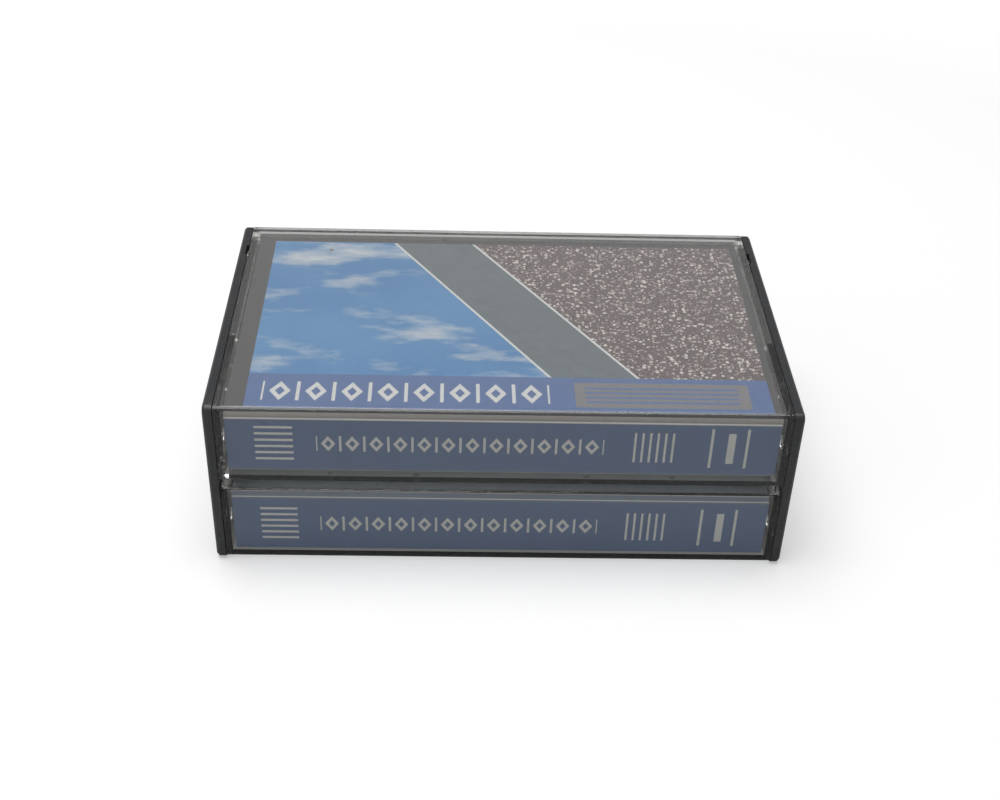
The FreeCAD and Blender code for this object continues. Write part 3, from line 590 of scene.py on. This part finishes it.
def card_surface(shader, place, printed, art):
    """The art where the card is printed, and rougher bare paper elsewhere."""
    fibre = shader.noise(place, scale=4.0, detail=4.0, roughness=0.6)
    ink = shader.noise(place, scale=1.3, detail=2.0)
    colour = shader.mix(printed, PAPER, art)
    tone = shader.ramp(ink, *NOISE_WIDE, *INK_TONE)
    shade = shader.add("VectorMath", {0: colour, "Scale": tone}, operation="SCALE").outputs[0]
    coated = shader.ramp(fibre, *NOISE_WIDE, *PRINTED_ROUGHNESS)
    bare = shader.math("SUBTRACT", 1.0, printed)
    roughness = shader.math("ADD", coated, shader.math("MULTIPLY", bare, BARE_ROUGHNESS))
    return shader.principled(Base_Color=shade, Roughness=roughness,
                             Normal=shader.bump(fibre, depth=0.004, strength=0.5))


def card_material(half):
    """Printed card: art outside, bare paper inside and at its cut ends."""
    shader = Shader(half + "_card")
    place, x, y, z = shader.place()
    low, high = [corner * PER_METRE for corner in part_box(half + "_inlay_card")]
    front = low[1]
    half_height = (high[2] - low[2]) / 2
    # The lower card is the upper one turned over about Y, and its panel's art turns with it
    side = -1.0 if half == "lower" else 1.0
    w = shader.math("SUBTRACT", z, (low[2] + high[2]) / 2)
    up = shader.math("MULTIPLY", w, side)
    u = shader.math("MULTIPLY", x, side)
    outside = card_outside(shader, up, y, half_height, front)
    spine = spine_art(shader, x, w)
    panel = panel_art(shader, place, u, y)
    art = shader.mix(shader.below(y, front + SPINE_REACH, FOLD_SOFT), panel, spine)
    flap = shader.below(up, FOLD_REACH - half_height, FOLD_SOFT)
    strip = shader.above(y, front + FLAP_STRIP)
    art = shader.mix(flap, art, shader.mix(strip, FLAP_BLUE, FLAP_PALE))
    # Painted glow and highlight of the lid's corner, on the upper card only
    if half == "upper":
        art = painted_corner_glow(shader, art, up, y, half_height, front)
    printed = shader.math("MULTIPLY", outside, uncut(shader))
    art = spotted(shader, art, place)
    return shader.finish(card_surface(shader, place, printed, art))


# Cassette

def label_material(half):
    """Paper label with plain coloured rules."""
    shader = Shader(half + "_label")
    place, x, y, _ = shader.place()
    low, high = [corner * PER_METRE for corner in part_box(half + "_label_a")]
    fibre = shader.noise(place, scale=3.0, detail=5.0, roughness=0.6)
    base = shader.mix(shader.ramp(fibre, *NOISE_WIDE), LABEL_PAPER_DARK, LABEL_PAPER)
    stripes = [shader.between(y, high[1] - foot, high[1] - top) for foot, top in LABEL_STRIPES]
    art = shader.mix(shader.any_of(stripes), base, PERIWINKLE)
    foot = shader.between(y, low[1] + LABEL_FOOT[0], low[1] + LABEL_FOOT[1])
    art = shader.mix(foot, art, SLATE)
    rules_u = (low[0] + LABEL_RULES_SIDE, high[0] - LABEL_RULES_SIDE)
    rules_v = (high[1] - LABEL_RULES_V[0], high[1] - LABEL_RULES_V[1])
    lines = rules(shader, x, y, rules_u, rules_v, LABEL_RULE_PERIOD, LABEL_RULE_SHARE)
    art = shader.mix(lines, art, SLATE)
    return shader.finish(shader.principled(Base_Color=art, Roughness=0.62,
                                           Normal=shader.bump(fibre, depth=0.01, strength=0.5)))


def tape_rings(shader, x, y, axis):
    """Colour and height of fine rings about a pack's axis."""
    dx = shader.math("SUBTRACT", x, axis[0])
    dy = shader.math("SUBTRACT", y, axis[1])
    radius = shader.math("SQRT", shader.math("ADD", shader.math("MULTIPLY", dx, dx),
                                             shader.math("MULTIPLY", dy, dy)))
    rings = shader.add("TexNoise", {"W": radius, "Scale": 5.0, "Detail": 4.0,
                                    "Roughness": 0.7}, noise_dimensions="1D").outputs[0]
    broad = shader.add("TexNoise", {"W": radius, "Scale": 0.5, "Detail": 1.0},
                       noise_dimensions="1D").outputs[0]
    colour = shader.mix(shader.ramp(broad, *NOISE_MIDDLE), TAPE_RING_DARK, TAPE_RING_PALE)
    return colour, rings


def tape_material(name, axis=None):
    """Brown oxide tape. A wound pack, which has an axis, shows fine rings about it."""
    shader = Shader(name)
    place, x, y, _ = shader.place()
    if axis is None:
        colour = TAPE_BROWN
        height = shader.noise(place, scale=2.0)
    else:
        colour, height = tape_rings(shader, x, y, axis)
    return shader.finish(shader.principled(Base_Color=colour, Roughness=0.34,
                                           Normal=shader.bump(height, depth=0.03, strength=0.6)))


def metal(name, colour, roughness, brush):
    """Bare metal with a fine grain, whose scale along X is given."""
    shader = Shader(name)
    place, _, _, _ = shader.place()
    grain = shader.noise(shader.stretched(place, brush, 6.0, 6.0), scale=1.0, roughness=0.6)
    rough = shader.ramp(grain, *NOISE_WIDE, roughness - METAL_SPREAD, roughness + METAL_SPREAD)
    return shader.finish(shader.principled(Base_Color=colour, Metallic=1.0, Roughness=rough,
                                           Normal=shader.bump(grain, depth=0.006, strength=0.5)))


def felt_material():
    """Pressed felt."""
    shader = Shader("felt")
    place, _, _, _ = shader.place()
    fibre = shader.noise(place, scale=5.0, detail=6.0, roughness=0.75)
    colour = shader.mix(shader.ramp(fibre, *NOISE_WIDE), FELT_DARK, FELT_PALE)
    return shader.finish(shader.principled(Base_Color=colour, Roughness=0.95,
                                           Normal=shader.bump(fibre, depth=0.12)))


def paint(node, material):
    """Gives a frame node one material."""
    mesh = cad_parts[node].data
    mesh.materials.clear()
    mesh.materials.append(material)


def paint_reel(half, side, hub, roller):
    """Materials on one side's hub, clip, wound pack and roller."""
    low, high = [corner * PER_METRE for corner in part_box(f"{half}_{side}_pack")]
    axis = ((low[0] + high[0]) / 2, (low[1] + high[1]) / 2)
    paint(f"{half}_{side}_pack", tape_material(f"{half}_{side}_pack", axis))
    paint(f"{half}_{side}_hub", hub)
    paint(f"{half}_{side}_clip", hub)
    paint(f"{half}_{side}_roller", roller)


def paint_all():
    """Materials on every node."""
    shell = matt_plastic("shell_plastic", SHELL_GREY, 0.5)
    hub = matt_plastic("hub_plastic", HUB_WHITE, 0.42, grain_scale=1.2, unevenness=0.03)
    roller = matt_plastic("roller_plastic", ROLLER_WHITE, 0.4, grain_scale=1.2, unevenness=0.03)
    liner = matt_plastic("liner_film", LINER_GREY, 0.45, grain_scale=3.5, unevenness=0.1)
    clear = clear_plastic("clear_plastic")
    window = clear_plastic("window_plastic")
    run = tape_material("tape_run")
    steel = metal("pin_steel", PIN_STEEL, 0.25, brush=0.3)
    screw = metal("screw_steel", SCREW_STEEL, 0.34, brush=3.0)
    shield = metal("shield_metal", SHIELD_METAL, 0.38, brush=0.2)
    bronze = metal("spring_bronze", SPRING_BRONZE, 0.3, brush=0.2)
    felt = felt_material()
    paint("centre_tray", black_plastic())
    for half in HALVES:
        for node, material in (
                ("lid", clear), ("inlay_card", card_material(half)), ("cassette_half_a", shell),
                ("cassette_half_b", shell), ("window_a", window), ("window_b", window),
                ("liner_a", liner), ("liner_b", liner), ("tape_run", run),
                ("roller_pins", steel), ("pressure_pad", felt), ("pad_spring", bronze),
                ("shield_plate", shield), ("shell_screws", screw)):
            paint(f"{half}_{node}", material)
        label = label_material(half)
        for side in ("label_a", "label_b"):
            paint(f"{half}_{side}", label)
        for side in ("supply", "takeup"):
            paint_reel(half, side, hub, roller)


# Stage

def floor_material():
    """Pale floor, dimmer in reflections, with a glow that the camera sees, stronger far off."""
    shader = Shader("floor")
    path = shader.add("LightPath").outputs
    colour = shader.mix(path["Is Glossy Ray"], grey(FLOOR_ALBEDO), grey(FLOOR_REFLECTED))
    plain = shader.add("BsdfDiffuse", {"Color": colour}).outputs[0]
    away = shader.add("VectorMath", {0: shader.add("TexCoord").outputs["Object"]},
                      operation="LENGTH").outputs["Value"]
    glow = shader.ramp(away, FLOOR_NEAR, FLOOR_FAR, FLOOR_GLOW, FLOOR_FAR_GLOW)
    seen = shader.math("MAXIMUM", shader.math("MULTIPLY", path["Is Camera Ray"], glow),
                       shader.math("MULTIPLY", path["Is Transmission Ray"], FLOOR_THROUGH))
    light = shader.add("Emission", {"Color": grey(1.0), "Strength": seen}).outputs[0]
    return shader.finish(shader.add("AddShader", {0: plain, 1: light}).outputs[0])


def floor():
    """Wide floor just under the case, which keeps the case's shadow."""
    mesh = bpy.data.meshes.new("floor")
    corners = [(-FLOOR_HALF, -FLOOR_HALF, 0), (FLOOR_HALF, -FLOOR_HALF, 0),
               (FLOOR_HALF, FLOOR_HALF, 0), (-FLOOR_HALF, FLOOR_HALF, 0)]
    mesh.from_pydata(corners, [], [(0, 1, 2, 3)])
    piece = bpy.data.objects.new("floor", mesh)
    bpy.context.scene.collection.objects.link(piece)
    piece.location.z = cad_bounds[0][2] - FLOOR_GAP
    mesh.materials.append(floor_material())


def studio_world():
    """Even pale surroundings: soft on the object, and white where they are seen."""
    world = bpy.data.worlds.new("studio")
    bpy.context.scene.world = world
    world.use_nodes = True
    tree = world.node_tree
    tree.nodes.clear()
    path = tree.nodes.new("ShaderNodeLightPath")

    def chosen(rays, seen, unseen):
        """Strength for some rays, and another value or socket for the rest."""
        node = tree.nodes.new("ShaderNodeMix")
        tree.links.new(path.outputs[rays], node.inputs[0])
        if isinstance(unseen, float):
            node.inputs[2].default_value = unseen
        else:
            tree.links.new(unseen, node.inputs[2])
        node.inputs[3].default_value = seen
        return node.outputs[0]

    strength = chosen("Is Glossy Ray", WORLD_GLOSSY, WORLD_DIFFUSE)
    strength = chosen("Is Transmission Ray", WORLD_THROUGH, strength)
    strength = chosen("Is Camera Ray", WORLD_SEEN, strength)
    background = tree.nodes.new("ShaderNodeBackground")
    background.inputs["Color"].default_value = grey(1.0)
    tree.links.new(strength, background.inputs["Strength"])
    out = tree.nodes.new("ShaderNodeOutputWorld")
    tree.links.new(background.outputs[0], out.inputs["Surface"])


def area_light(name, place, size, power):
    """Soft square lamp that points at the camera's target."""
    lamp = bpy.data.lights.new(name, "AREA")
    lamp.size = size
    lamp.energy = power
    piece = bpy.data.objects.new(name, lamp)
    piece.location = place
    away = Vector(place) - Vector(CAMERA_TARGET)
    piece.rotation_euler = away.to_track_quat("Z", "Y").to_euler()
    bpy.context.scene.collection.objects.link(piece)


def camera():
    """The photograph's view."""
    azimuth, elevation, roll = (math.radians(angle) for angle in
                                (CAMERA_AZIMUTH, CAMERA_ELEVATION, CAMERA_ROLL))
    back = Vector((math.sin(azimuth) * math.cos(elevation),
                   -math.cos(azimuth) * math.cos(elevation), math.sin(elevation)))
    level = Vector((math.cos(azimuth), math.sin(azimuth), 0))
    upright = back.cross(level)
    right = level * math.cos(roll) + upright * math.sin(roll)
    up = upright * math.cos(roll) - level * math.sin(roll)
    data = bpy.data.cameras.new("camera")
    data.sensor_width = SENSOR_WIDTH
    data.lens = FOCAL_PIXELS / PICTURE_WIDTH * SENSOR_WIDTH
    data.shift_y = AXIS_BELOW_CENTRE / PICTURE_WIDTH
    data.clip_start = CAMERA_NEAR
    piece = bpy.data.objects.new("camera", data)
    axes = Matrix((right, up, back)).transposed().to_4x4()
    piece.matrix_world = Matrix.Translation(Vector(CAMERA_TARGET)
                                            + back * CAMERA_DISTANCE) @ axes
    bpy.context.scene.collection.objects.link(piece)
    bpy.context.scene.camera = piece


paint_all()
floor()
studio_world()
area_light("key", KEY_PLACE, KEY_SIZE, KEY_POWER)
area_light("fill", FILL_PLACE, FILL_SIZE, FILL_POWER)
camera()
bpy.context.scene.view_settings.view_transform = "Standard"
